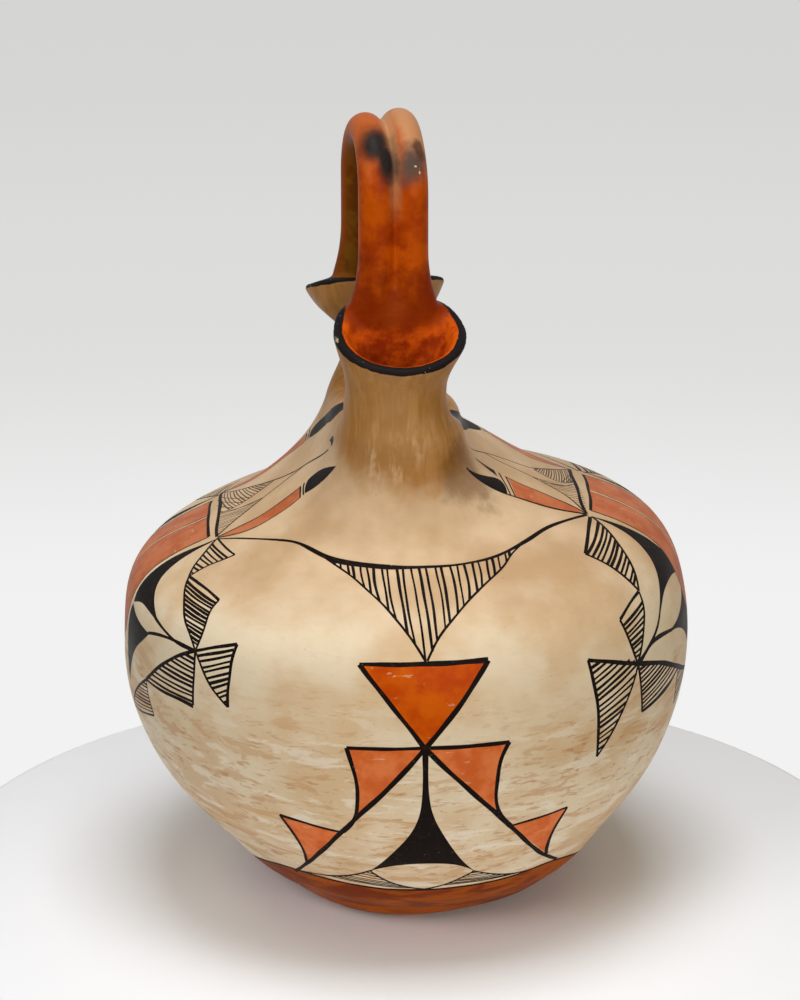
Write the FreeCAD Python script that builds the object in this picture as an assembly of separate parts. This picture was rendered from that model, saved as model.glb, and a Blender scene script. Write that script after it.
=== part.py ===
import FreeCAD, Part
import math
import os

os.makedirs("parts", exist_ok=True)

V = FreeCAD.Vector
origin = V(0, 0, 0)
east = V(1, 0, 0)
north = V(0, 1, 0)
up = V(0, 0, 1)

# A twin-spouted wedding vase in fired clay: one round body whose neck divides into two
# spouts, joined by a handle of two clay rolls. +Z is up, the foot stands on Z = 0 and the
# spouts stand in a line along Y. Sizes are in millimetres, angles in degrees.

# body, coiled by hand
belly_radius = 117.5
belly_height = 108.0
foot_radius = 48.5
shoulder_height = 160.0
shoulder_radius = 88.5
wall = 6.0
floor_thickness = 8.0

# oblong neck above the shoulder, from which both spouts rise; its waist is near the saddle
neck_half_width = 30.0
neck_stretch = 24.0
saddle_height = 209.0
neck_level = 0.776
neck_height = shoulder_height + neck_level * (saddle_height - shoulder_height)

# coiling by hand sets the foot to one side, tips the shoulder and carries the neck over
foot_shift = 4.8
neck_shift = -5.6
crown_shift = 1.8
top_lean = 5.2
lean_drop = 25.0
lean_height = saddle_height - lean_drop

# spouts; the rear one is slimmer
spout_spacing = 74.0
spout_shift = -6.2
spout_splay = 4.0
front_waist_radius = 19.2
rear_waist_radius = 18.8
waist_rise = 21.0
waist_height = saddle_height + waist_rise
spout_root = 0.42
spout_flare = 5.5
spout_wall = 5.4
spout_fillet = 2.5
mouth_radius = 25.8
mouth_rise = 38.0
mouth_height = saddle_height + mouth_rise
mouth_tilt = 20.0
lip_flare = 2.2
lip_depth = 6.0
lip_round = 1.9

# handle: two rolls side by side
roll_diameter = 14.4
roll_overlap = 0.8
handle_rise = 120.5
handle_top = saddle_height + handle_rise
handle_span = 46.0
handle_shift = -2.7
root_rise = 17.0
root_height = saddle_height + root_rise
root_spread = 1.25
leg_sway = 4.0

# sections of the body and points in each
ring_count = 32
ring_points = 24


def ease(z, low, high):
    """0 below the low height, 1 above the high one, smooth between."""
    t = min(1.0, max(0.0, (z - low) / (high - low)))
    return t * t * (3 - 2 * t)


def lean_at(z):
    """Tip of a section to one side: most at the foot of the neck, none at the saddle."""
    t = min(1.0, max(0.0, z / lean_height))
    return top_lean * t ** 1.5 * (1 - ease(z, lean_height, (neck_height + saddle_height) / 2))


def shift_at(z):
    """Sideways place of the middle of a section."""
    low = foot_shift * max(0.0, 1 - z / belly_height) ** 1.6
    return low + neck_shift * ease(z, belly_height, lean_height) + crown_shift * ease(z, lean_height, saddle_height)


def stretch_at(z):
    """The neck is longer along Y than it is wide."""
    return neck_stretch * ease(z, shoulder_height, neck_height)


def ring(z, half_width, half_length):
    """One closed section of the body, round below and oblong above."""
    power = 1 / (1 + 0.2 * ease(z, shoulder_height, neck_height))
    points = []
    for k in range(ring_points):
        angle = 2 * math.pi * k / ring_points
        c, s = math.cos(angle), math.sin(angle)
        points.append(V(math.copysign(half_width * abs(c) ** power, c),
                        math.copysign(half_length * abs(s) ** power, s), 0))
    curve = Part.BSplineCurve()
    curve.interpolate(points, True)
    edge = curve.toShape()
    edge.rotate(origin, north, -lean_at(z))
    edge.translate(V(shift_at(z), 0, z))
    return Part.Wire([edge])


# outside of the body from below the foot up to the neck: height and radius, as shares of the
# bowl below the belly, the bulge between belly and shoulder and the dome between shoulder and neck
bowl = belly_radius - foot_radius
bulge = shoulder_height - belly_height
drop = belly_radius - shoulder_radius
rise = neck_height - shoulder_height
dome = shoulder_radius - neck_half_width
outline = [
    (belly_height * -0.037, foot_radius - bowl * 0.087),
    (belly_height * 0.037, foot_radius + bowl * 0.065),
    (belly_height * 0.120, foot_radius + bowl * 0.268),
    (belly_height * 0.278, foot_radius + bowl * 0.510),
    (belly_height * 0.426, foot_radius + bowl * 0.697),
    (belly_height * 0.593, foot_radius + bowl * 0.847),
    (belly_height * 0.796, foot_radius + bowl * 0.963),
    (belly_height, belly_radius),
    (belly_height + bulge * 0.327, belly_radius - drop * 0.041),
    (belly_height + bulge * 0.577, belly_radius - drop * 0.146),
    (belly_height + bulge * 0.808, belly_radius - drop * 0.434),
    (shoulder_height, shoulder_radius),
    (shoulder_height + rise * 0.21, neck_half_width + dome * 0.675),
    (shoulder_height + rise * 0.37, neck_half_width + dome * 0.470),
    (shoulder_height + rise * 0.53, neck_half_width + dome * 0.302),
    (shoulder_height + rise * 0.68, neck_half_width + dome * 0.164),
    (shoulder_height + rise * 0.84, neck_half_width + dome * 0.062),
    (neck_height, neck_half_width),
]

# the neck closes over as a saddle between the spouts: height, half width, half length
neck_half_length = neck_half_width + neck_stretch
crown = saddle_height - neck_height
saddle = [
    (saddle_height - crown * 0.41, neck_half_width * 0.907, neck_half_length * 0.944),
    (saddle_height - crown * 0.13, neck_half_width * 0.733, neck_half_length * 0.833),
    (saddle_height - crown * 0.036, neck_half_width * 0.50, neck_half_length * 0.55),
    (saddle_height, neck_half_width * 0.18, neck_half_length * 0.16),
]
profile = Part.BSplineCurve()
profile.interpolate([V(r, r + stretch_at(z), z) for z, r in outline] + [V(a, b, z) for z, a, b in saddle])


def skin(depth):
    """The outline moved inwards by a depth, square to itself, in even steps."""
    steps = []
    for p in profile.discretize(ring_count):
        t = profile.tangent(profile.parameter(p))[0]
        across = math.hypot(t.x, t.z)
        along = math.hypot(t.y, t.z)
        sink = depth * (t.x / across + t.y / along) / 2
        steps.append((p.z + sink, p.x - depth * t.z / across, p.y - depth * t.z / along))
    return steps


def coiled(steps):
    return Part.makeLoft([ring(z, a, b) for z, a, b in steps], True, False)




def at_mouth(shape, side, tilt):
    """Turns a shape outwards by a tilt and sets it on a mouth; side is -1 in front, 1 behind."""
    shape.rotate(origin, east, -side * tilt)
    shape.translate(V(spout_shift, side * spout_spacing / 2, mouth_height))
    return shape


def spout(side, depth, low, high):
    """A spout turned on its own axis as a trumpet, from a low height to a high one."""
    waist = (rear_waist_radius if side > 0 else front_waist_radius) - depth
    points = [
        V(waist + spout_flare, 0, low),
        V(waist + spout_flare * 0.27, 0, saddle_height),
        V(waist, 0, waist_height),
        V(mouth_radius - lip_flare - depth, 0, mouth_height - lip_depth),
        V(mouth_radius + 2 * lip_flare - depth, 0, high),
    ]
    curve = Part.BSplineCurve()
    curve.interpolate(points)
    edges = [
        curve.toShape(),
        Part.makeLine(points[-1], V(0, 0, high)),
        Part.makeLine(V(0, 0, high), V(0, 0, low)),
        Part.makeLine(V(0, 0, low), points[0]),
    ]
    turned = Part.Face(Part.Wire(edges)).revolve(origin, up, 360)
    turned.translate(V(0, 0, -mouth_height))
    return at_mouth(turned, side, spout_splay)


def above_mouth(side):
    """Everything above the slanting plane of a mouth."""
    size = 4 * mouth_radius
    block = Part.makeBox(size, size, size, V(-size / 2, -size / 2, 0))
    return at_mouth(block, side, mouth_tilt)


def in_mouth_plane(edge, side):
    slope = math.radians(mouth_tilt)
    face = V(0, side * math.sin(slope), math.cos(slope))
    start = V(spout_shift, side * spout_spacing / 2, mouth_height)
    step = (edge.LastParameter - edge.FirstParameter) / 4
    spots = [edge.valueAt(edge.FirstParameter + step * k) for k in range(4)]
    return max(abs((p - start).dot(face)) for p in spots) < 0.01


# outside of the body and spouts, softened where the spouts leave the neck
spout_low = neck_height - spout_root * rise
spout_high = mouth_height + mouth_radius
outer = coiled(skin(0.0))
for side in (-1, 1):
    outer = outer.fuse(spout(side, 0.0, spout_low, spout_high).cut(above_mouth(side)))
outer = outer.removeSplitter()
seams = []
for edge in outer.Edges:
    box = edge.BoundBox
    crosses = box.XLength > rear_waist_radius
    if crosses and spout_low < box.ZMin and box.ZMax < waist_height:
        seams.append(edge)
outer = outer.makeFillet(spout_fillet, seams)
print("outer", outer.isValid(), len(outer.Solids), len(outer.Faces))

# one hollow through the body and up both spouts
inside = [step for step in skin(wall) if step[0] > floor_thickness + wall and step[1] > wall]
edge_round = 9.0
floor_ring = (floor_thickness, inside[0][1] - edge_round, inside[0][2] - edge_round)
hollow = coiled([floor_ring] + inside)
for side in (-1, 1):
    hollow = hollow.fuse(spout(side, spout_wall, spout_low, spout_high))
shell = outer.cut(hollow.removeSplitter())

# flat foot
below = 2 * belly_radius
ground = Part.makeBox(2 * below, 2 * below, below, V(-below, -below, -below))
shell = shell.cut(ground)

# rounded lips
rims = [edge for edge in shell.Edges if in_mouth_plane(edge, -1) or in_mouth_plane(edge, 1)]
shell = shell.makeFillet(lip_round, rims)
print("shell", shell.isValid(), len(shell.Solids), len(shell.Faces))


def roll(x):
    """One clay roll of the handle, from the front mouth over to the rear one."""
    radius = roll_diameter / 2
    half = handle_span / 2
    spring = handle_top - radius - half
    leg = spring - root_height
    stops = [
        (spout_spacing / 2 - rear_waist_radius + spout_wall / 2, root_height, 0.30),
        (half - leg_sway, root_height + leg * 0.14, root_spread * 0.85),
        (half - leg_sway / 2, root_height + leg * 0.30, root_spread),
        (half, root_height + leg * 0.52, 1.04),
        (half, root_height + leg * 0.81, 1.0),
    ]
    for degrees in (4, 35, 65, 90):
        angle = math.radians(degrees)
        stops.append((half * math.cos(angle), spring + half * math.sin(angle), 1.0))
    front = [(-y, z, k) for y, z, k in stops]
    stops = front + list(reversed(stops[:-1]))
    path = Part.BSplineCurve()
    path.interpolate([V(0, y, z) for y, z, k in stops])
    rings = []
    for y, z, k in stops:
        t = path.tangent(path.parameter(V(0, y, z)))[0]
        edge = Part.Circle(origin, up, radius * k).toShape()
        edge.rotate(origin, east, -math.degrees(math.atan2(t.y, t.z)))
        edge.translate(V(x, y, z))
        rings.append(Part.Wire([edge]))
    return Part.makeLoft(rings, True, False)


pitch = roll_diameter - roll_overlap
vase = shell
for side in (-1, 1):
    vase = vase.fuse(roll(spout_shift + handle_shift + side * pitch / 2))
wedding_vase = vase.Solids[0]
print("vase", wedding_vase.isValid(), len(vase.Solids), len(wedding_vase.Faces), round(wedding_vase.Volume))
wedding_vase.exportStep("parts/wedding_vase.step")
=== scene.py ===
import math
import bpy
import bmesh
import numpy as np
from mathutils import Matrix, Vector, geometry


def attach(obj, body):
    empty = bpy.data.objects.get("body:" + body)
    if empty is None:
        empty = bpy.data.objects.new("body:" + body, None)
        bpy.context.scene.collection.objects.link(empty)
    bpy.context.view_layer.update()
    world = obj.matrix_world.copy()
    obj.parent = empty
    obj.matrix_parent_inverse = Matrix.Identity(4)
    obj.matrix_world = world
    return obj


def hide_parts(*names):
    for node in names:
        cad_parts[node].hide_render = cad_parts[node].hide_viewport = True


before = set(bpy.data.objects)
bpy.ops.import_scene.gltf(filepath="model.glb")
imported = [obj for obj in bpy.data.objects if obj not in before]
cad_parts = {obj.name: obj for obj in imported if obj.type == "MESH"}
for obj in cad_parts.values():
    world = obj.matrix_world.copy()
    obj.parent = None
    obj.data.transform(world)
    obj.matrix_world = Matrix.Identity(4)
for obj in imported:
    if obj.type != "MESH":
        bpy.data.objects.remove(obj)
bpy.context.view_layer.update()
print("frame loaded")

# Wedding vase: every length below is in millimetres, angles in degrees, until a mesh is made.
metre = 0.001

bodyForm = {
    "bellyRadius": 117.2, "bellyHeight": 108.0, "footRadius": 48.3,
    "shoulderHeight": 160.0, "shoulderRadius": 88.4,
    "neckHeight": 198.0, "neckHalfWidth": 28.9, "neckStretch": 24.0, "saddleHeight": 209.0,
    "footShift": 4.8, "neckShift": -5.6, "crownShift": 1.8, "topLean": 5.2, "leanHeight": 184.0,
    "wall": 6.0, "floor": 8.0, "footRound": 6.0, "floorRound": 14.0, "saddleRound": 6.5,
}


def ease(z, low, high):
    t = np.clip((z - low) / (high - low), 0.0, 1.0)
    return t * t * (3 - 2 * t)


# natural cubic spline through knots, as a function that also takes arrays
def curveThrough(knots, values):
    x, y = np.asarray(knots, float), np.asarray(values, float)
    gap = np.diff(x)
    rate = np.diff(y) / gap
    size = len(x)
    matrix, right = np.zeros((size, size)), np.zeros(size)
    matrix[0, :2], right[0] = (2, 1), 3 * rate[0]
    matrix[-1, -2:], right[-1] = (1, 2), 3 * rate[-1]
    for i in range(1, size - 1):
        matrix[i, i - 1:i + 2] = gap[i], 2 * (gap[i - 1] + gap[i]), gap[i - 1]
        right[i] = 3 * (gap[i] * rate[i - 1] + gap[i - 1] * rate[i])
    slope = np.linalg.solve(matrix, right)

    def at(q):
        q = np.clip(q, x[0], x[-1])
        k = np.clip(np.searchsorted(x, q) - 1, 0, size - 2)
        g = gap[k]
        t = (q - x[k]) / g
        start = (1 + 2 * t) * (1 - t) ** 2 * y[k] + t * (1 - t) ** 2 * g * slope[k]
        return start + t * t * (3 - 2 * t) * y[k + 1] + t * t * (t - 1) * g * slope[k + 1]
    return at


b = bodyForm
bowl, bulge = b["bellyRadius"] - b["footRadius"], b["shoulderHeight"] - b["bellyHeight"]
drop, dome = b["bellyRadius"] - b["shoulderRadius"], b["shoulderRadius"] - b["neckHalfWidth"]
rise = b["neckHeight"] - b["shoulderHeight"]
# half width of the body by height: bowl, bulge above the belly, dome up to the neck
halfWidthAt = curveThrough(*zip(
    *[(b["bellyHeight"] * z, b["footRadius"] + bowl * r) for z, r in (
        (-0.037, -0.087), (0.037, 0.065), (0.120, 0.268), (0.278, 0.510), (0.426, 0.697), (0.593, 0.847),
        (0.796, 0.963), (1.0, 1.0))],
    *[(b["bellyHeight"] + bulge * z, b["bellyRadius"] - drop * r) for z, r in (
        (0.327, 0.041), (0.577, 0.146), (0.808, 0.434))],
    *[(b["shoulderHeight"] + rise * z, b["neckHalfWidth"] + dome * r) for z, r in (
        (0.0, 1.0), (0.21, 0.675), (0.37, 0.470), (0.53, 0.302), (0.68, 0.164), (0.84, 0.062), (1.0, 0.0))],
    (b["saddleHeight"] - 3.0, b["neckHalfWidth"] - 2.6),
    (b["saddleHeight"] + 8.0, b["neckHalfWidth"] - 4.0)))


def leanAt(z):
    t = np.clip(z / b["leanHeight"], 0.0, 1.0)
    upper = 1 - ease(z, b["leanHeight"], (b["neckHeight"] + b["saddleHeight"]) / 2)
    return np.radians(b["topLean"]) * t ** 1.5 * upper


def shiftAt(z):
    low = b["footShift"] * np.clip(1 - z / b["bellyHeight"], 0.0, None) ** 1.6
    crown = b["crownShift"] * ease(z, b["leanHeight"], b["saddleHeight"])
    return low + b["neckShift"] * ease(z, b["bellyHeight"], b["leanHeight"]) + crown


def stretchAt(z):
    return b["neckStretch"] * ease(z, b["shoulderHeight"], b["neckHeight"])


def squareAt(z):
    return 2 * (1 + 0.2 * ease(z, b["shoulderHeight"], b["neckHeight"]))


# height of the leaning section through each point, and the point's place in that section
def sectionOf(points):
    x, y, z = points.T
    level = z
    for turn in range(4):
        level = z - (x - shiftAt(level)) * np.tan(leanAt(level))
    return level, (x - shiftAt(level)) / np.cos(leanAt(level)), y


# inverse of sectionOf: angle round the section and its height, scale below 1 inside the foot
def sectionPoint(angle, level, scale=1.0):
    c, s = np.cos(angle), np.sin(angle)
    power = 2 / squareAt(level)
    half = halfWidthAt(level)
    across = np.sign(c) * np.abs(c) ** power * half * scale
    along = np.sign(s) * np.abs(s) ** power * (half + stretchAt(level)) * scale
    lean = leanAt(level)
    return np.stack([shiftAt(level) + across * np.cos(lean), along, level + across * np.sin(lean)], axis=1)


def sectionAngle(points):
    level, across, along = sectionOf(points)
    half = halfWidthAt(level)
    power = squareAt(level) / 2
    c = np.sign(across) * np.abs(across / half) ** power
    s = np.sign(along) * np.abs(along / (half + stretchAt(level))) ** power
    return np.arctan2(s, c), level


def smoothMin(p, q, reach):
    blend = np.clip(reach - np.abs(p - q), 0.0, None) / reach
    return np.minimum(p, q) - blend * blend * reach / 4


# the larger of two distances, with the edge between them rounded to a radius
def roundMax(p, q, radius):
    corner = np.hypot(np.clip(p + radius, 0.0, None), np.clip(q + radius, 0.0, None))
    return corner + np.minimum(np.maximum(p, q) + radius, 0.0) - radius


# distance to the coiled body: the gap to a rounded oblong section, times the cosine of the wall's slope
def bodyGap(points):
    level, across, along = sectionOf(points)
    half = halfWidthAt(level)
    slope = (halfWidthAt(level + 0.5) - halfWidthAt(level - 0.5))
    power = squareAt(level)
    size = np.abs(across / half) ** power + np.abs(along / (half + stretchAt(level))) ** power
    ratio = np.clip(size, 1e-9, None) ** (1 / power)
    reach = np.hypot(across, along)
    side = (reach - reach / ratio) / np.sqrt(1 + slope * slope)
    return roundMax(side, points[:, 2] - b["saddleHeight"], b["saddleRound"])


# drift is how far a spout's waist and mouth stand off the middle line
spoutForm = {
    "spacing": 74.0, "shift": -6.2, "splay": 4.0, "frontWaist": 20.9, "rearWaist": 18.2,
    "waistHeight": 230.0,
    "flare": 5.5, "frontMouth": 27.3, "rearMouth": 27.8, "mouthHeight": 247.0, "mouthTilt": 20.0,
    "wall": 5.4, "lipRound": 2.2, "blend": 15.0, "frontDrift": (-3.6, -1.7), "rearDrift": (0.0, -1.2),
    "rearLift": 1.3,
}
middle = spoutForm["shift"]


def trumpet(waist, mouth):
    s = spoutForm
    return curveThrough(*zip(
        (b["saddleHeight"] - 40.0, waist + s["flare"] * 1.5),
        (b["saddleHeight"] - 27.0, waist + s["flare"]),
        (b["saddleHeight"], waist + s["flare"] * 0.27), (s["waistHeight"], waist),
        (s["mouthHeight"] - 6.0, mouth - 2.2), (s["mouthHeight"] + 26.0, mouth + 4.3)))


# distance to a trumpet turned on an axis that leans outwards; side is -1 in front, 1 behind
def spoutGap(points, side, radiusAt):
    splay = math.radians(spoutForm["splay"])
    x = points[:, 0] - middle
    low, high = spoutForm["frontDrift" if side < 0 else "rearDrift"]
    x = x - low * ease(points[:, 2], 196.0, 222.0) - (high - low) * ease(points[:, 2], 226.0, 250.0)
    y = points[:, 1] - side * spoutForm["spacing"] / 2
    z = points[:, 2] - spoutForm["mouthHeight"]
    height = spoutForm["mouthHeight"] + y * side * math.sin(splay) + z * math.cos(splay)
    out = np.hypot(x, y * math.cos(splay) - z * side * math.sin(splay))
    slope = radiusAt(height + 0.5) - radiusAt(height - 0.5)
    return (out - radiusAt(height)) / np.sqrt(1 + slope * slope)


frontTrumpet = trumpet(spoutForm["frontWaist"], spoutForm["frontMouth"])
rearTrumpet = trumpet(spoutForm["rearWaist"], spoutForm["rearMouth"])


def mouthPlane(points):
    tilt = math.radians(spoutForm["mouthTilt"])
    out = np.abs(points[:, 1]) - spoutForm["spacing"] / 2
    height = points[:, 2] - spoutForm["mouthHeight"] - spoutForm["rearLift"] * (points[:, 1] > 0)
    return out * math.sin(tilt) + height * math.cos(tilt)


# the fan widens the rolls towards their roots; the black band follows the lips
handleForm = {
    "rollRadius": 7.15, "pitch": 13.5, "top": 329.3, "span": 46.0, "shift": -2.7,
    "fanTop": 282.0, "fanFoot": 238.0, "fan": 0.55, "flatten": 0.25, "crease": 2.4, "press": 7.0,
    "sunk": 1.6, "drop": 1.3, "bandOutside": 1.7, "bandInside": 0.7, "bandWidth": 3.7,
}


# two rolls side by side: up from the front mouth, over in a half circle and down into the rear one
def handleGap(points):
    h = handleForm
    x, y, z = points.T
    half = h["span"] / 2
    spring = h["top"] - h["rollRadius"] - half
    root = 1 - ease(z, h["fanFoot"], h["fanTop"])
    lean = half - 2.4 * (1 - ease(z, 236.0, 262.0))
    leg = np.abs(y) - lean
    wide = 1 + h["fan"] * root ** 1.6
    flat = 1 - h["flatten"] * root ** 2
    radius = h["rollRadius"] * (1 - 0.06 * ease(z, spring, h["top"]))
    gaps = []
    for side, low in ((-1, h["drop"]), (1, 0.0)):
        across = (x - middle - h["shift"]) / wide - side * h["pitch"] / 2
        bend = np.where(z > spring, np.hypot(y, z + low * ease(z, spring, h["top"]) - spring) - half, leg)
        gaps.append((np.hypot(across, bend / flat) - radius) * flat)
    rolls = smoothMin(gaps[0], gaps[1], h["crease"] + 14.0 * root ** 2)
    return np.maximum(rolls, (spoutForm["mouthHeight"] - 28.0) - z)


# millimetres that the hands pressed in or left fuller
clay = {"lump": 0.55, "lumpScale": 46.0, "leftRear": 2.3, "rightRear": 2.2, "rightFront": 3.0,
        "bowl": 0.9, "foot": 2.2, "footFill": 1.5}


# slow waves left by the hands, only ever inwards
def lumps(points):
    q = points / clay["lumpScale"]
    x, y, z = q.T
    wave = np.sin(1.7 * x + 2.3 * y + 0.9 * z + 1.0) + np.sin(2.9 * y - 1.3 * x + 2.1 * z + 4.0)
    wave += np.sin(3.7 * z + 1.9 * x - 0.7 * y + 2.0) + 0.6 * np.sin(5.3 * x + 4.1 * z + 3.3 * y)
    return clay["lump"] * (wave / 7.2 - 0.5)


# dents and swellings left by the hands: both flanks of the neck, the lower bowl and the edge of the foot
def pressed(points):
    x, y, z = points.T
    x = x - middle
    left, behind = ease(-x, 4.0, 16.0), ease(y, -5.0, 28.0)
    dent = clay["leftRear"] * ease(z, 178.0, 200.0) * (1 - ease(z, 228.0, 240.0)) * behind * left
    fuller = ease(z, 168.0, 186.0) * (1 - ease(z, 186.0, 197.0))
    waist = ease(z, 197.0, 206.0) * (1 - ease(z, 228.0, 240.0)) - 0.7 * fuller
    dent += clay["rightRear"] * waist * behind * ease(x, 5.0, 18.0)
    ahead = ease(-y, -10.0, 22.0) * ease(x, 6.0, 20.0)
    dent += clay["rightFront"] * ease(z, 176.0, 198.0) * (1 - ease(z, 206.0, 224.0)) * ahead
    beside = ease(np.abs(x - 9.0), 20.0, 50.0)
    dent += clay["bowl"] * ease(z, 10.0, 30.0) * (1 - ease(z, 40.0, 66.0)) * beside
    return dent + clay["foot"] * (1 - ease(z, 0.0, 9.0)) - clay["footFill"] * np.exp(-((z - 5) / 4) ** 2)


# body and both spouts as one smooth skin, before it is hollowed
def skinGap(points):
    skin = smoothMin(bodyGap(points), spoutGap(points, -1, frontTrumpet), spoutForm["blend"])
    skin = smoothMin(skin, spoutGap(points, 1, rearTrumpet), spoutForm["blend"])
    return skin - lumps(points) + pressed(points)


def outerGap(points):
    return roundMax(skinGap(points), -points[:, 2], b["footRound"])


# distance into the hollow's wall, turned round so that it grows towards the hollow
def innerGap(points, skin=None):
    skin = skinGap(points) if skin is None else skin
    z = points[:, 2]
    thinner = ease(z, b["shoulderHeight"], spoutForm["waistHeight"])
    thick = b["wall"] + (spoutForm["wall"] - b["wall"]) * thinner
    return -roundMax(skin + thick, b["floor"] - z, b["floorRound"])


def vaseGap(points):
    z = points[:, 2]
    skin = skinGap(points)
    above = mouthPlane(points)
    outside = roundMax(skin, -z, b["footRound"])
    shell = roundMax(np.maximum(outside, innerGap(points, skin)), above, spoutForm["lipRound"])
    # below a mouth the rolls stay within its wall
    room = smoothMin(skin + handleForm["sunk"], -above, 3.0)
    rolls = roundMax(handleGap(points), room, 1.5)
    root = 1 - ease(z, handleForm["fanFoot"], handleForm["fanTop"])
    return smoothMin(shell, rolls, 0.5 + handleForm["press"] * root)


def gradient(field, points, step=0.04):
    parts = []
    for axis in np.eye(3) * step:
        parts.append((field(points + axis) - field(points - axis)) / (2 * step))
    return np.stack(parts, axis=1)


# steps along the gradient until points lie on the surface; flat keeps their height
def settle(field, points, rounds=5, flat=False):
    for turn in range(rounds):
        slope = gradient(field, points)
        if flat:
            slope[:, 2] = 0
        size = np.clip((slope * slope).sum(axis=1), 0.04, None)
        step = field(points)[:, None] * slope / size[:, None]
        length = np.linalg.norm(step, axis=1)[:, None]
        points = points - step * np.minimum(1.0, 1.5 / np.clip(length, 1e-9, None))
    return points


# surface nets: one vertex in each grid cell that the surface crosses, one quad round each crossed edge
def netMesh(field, low, high, step):
    low = np.array(low, float)
    axes = [np.arange(a, z + step, step) for a, z in zip(low, high)]
    grid = np.stack(np.meshgrid(*axes, indexing="ij"), axis=-1)
    gaps = field(grid.reshape(-1, 3)).reshape(grid.shape[:3])
    cells = np.array(gaps.shape) - 1
    total, count = np.zeros((cells.prod(), 3)), np.zeros(cells.prod())
    quads = []
    for axis in range(3):
        first = np.delete(np.arange(gaps.shape[axis]), -1)
        near, far = np.take(gaps, first, axis), np.take(gaps, first + 1, axis)
        spots = np.argwhere((near < 0) != (far < 0))
        inner = (spots[:, (axis + 1) % 3] > 0) & (spots[:, (axis + 2) % 3] > 0)
        inner &= (spots[:, (axis + 1) % 3] < cells[(axis + 1) % 3])
        inner &= (spots[:, (axis + 2) % 3] < cells[(axis + 2) % 3])
        spots = spots[inner]
        start = near[tuple(spots.T)]
        end = far[tuple(spots.T)]
        where = low + step * spots
        where[:, axis] += step * start / (start - end)
        around = []
        for stepB, stepC in ((0, 0), (1, 0), (1, 1), (0, 1)):
            cell = spots.copy()
            cell[:, (axis + 1) % 3] -= stepB
            cell[:, (axis + 2) % 3] -= stepC
            around.append(np.ravel_multi_index(cell.T, cells))
            np.add.at(total, around[-1], where)
            np.add.at(count, around[-1], 1)
        quad = np.stack(around, axis=1)
        quad[start > 0] = quad[start > 0][:, ::-1]
        quads.append(quad)
    quads = np.concatenate(quads)
    used, quads = np.unique(quads, return_inverse=True)
    return total[used] / count[used][:, None], quads.reshape(-1, 4)


# the meridian from the cut round the neck down to the middle of the base: arrays of its radius, height,
# share of the section, travel and depth on the map
def meridian(radii, heights, centre):
    inward = np.linspace(1.0, 0.004, 60)[1:]
    radius = np.concatenate([radii, radii[-1] * inward])
    height = np.concatenate([heights, np.full(len(inward), heights[-1])])
    scale = np.concatenate([np.ones(len(heights)), inward])
    travel = np.concatenate([[0.0], np.cumsum(np.hypot(np.diff(radius), np.diff(height)))])
    middleRadius = (radius[1:] + radius[:-1]) / 2
    depth = np.concatenate([[0.0], np.cumsum(np.diff(travel) / middleRadius)])
    return {"radius": radius, "height": height, "scale": scale, "travel": travel, "depth": depth,
            "inset": centre}


# a conformal map of a round wall: angle, and exp of minus the depth as the distance from the pole
def toDisc(angle, depth):
    reach = np.exp(-depth)
    return np.stack([reach * np.cos(angle), reach * np.sin(angle)], axis=1)


def depthAt(line, level):
    side = line["scale"] == 1.0
    return np.interp(-level, -line["height"][side], line["depth"][side])


# rows of points round the wall, nearly equally far apart
def scatter(line, gap):
    angles, depths = [], []
    for row, travel in enumerate(np.arange(1.5 + gap * 0.8, line["travel"][-1], gap * 0.87)):
        radius = np.interp(travel, line["travel"], line["radius"])
        count = max(1, int(round(2 * math.pi * radius / gap)))
        angles.append((np.arange(count) + 0.5 * (row % 2)) * 2 * math.pi / count - math.pi)
        depths.append(np.full(count, np.interp(travel, line["travel"], line["depth"])))
    return np.concatenate(angles), np.concatenate(depths)


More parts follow.
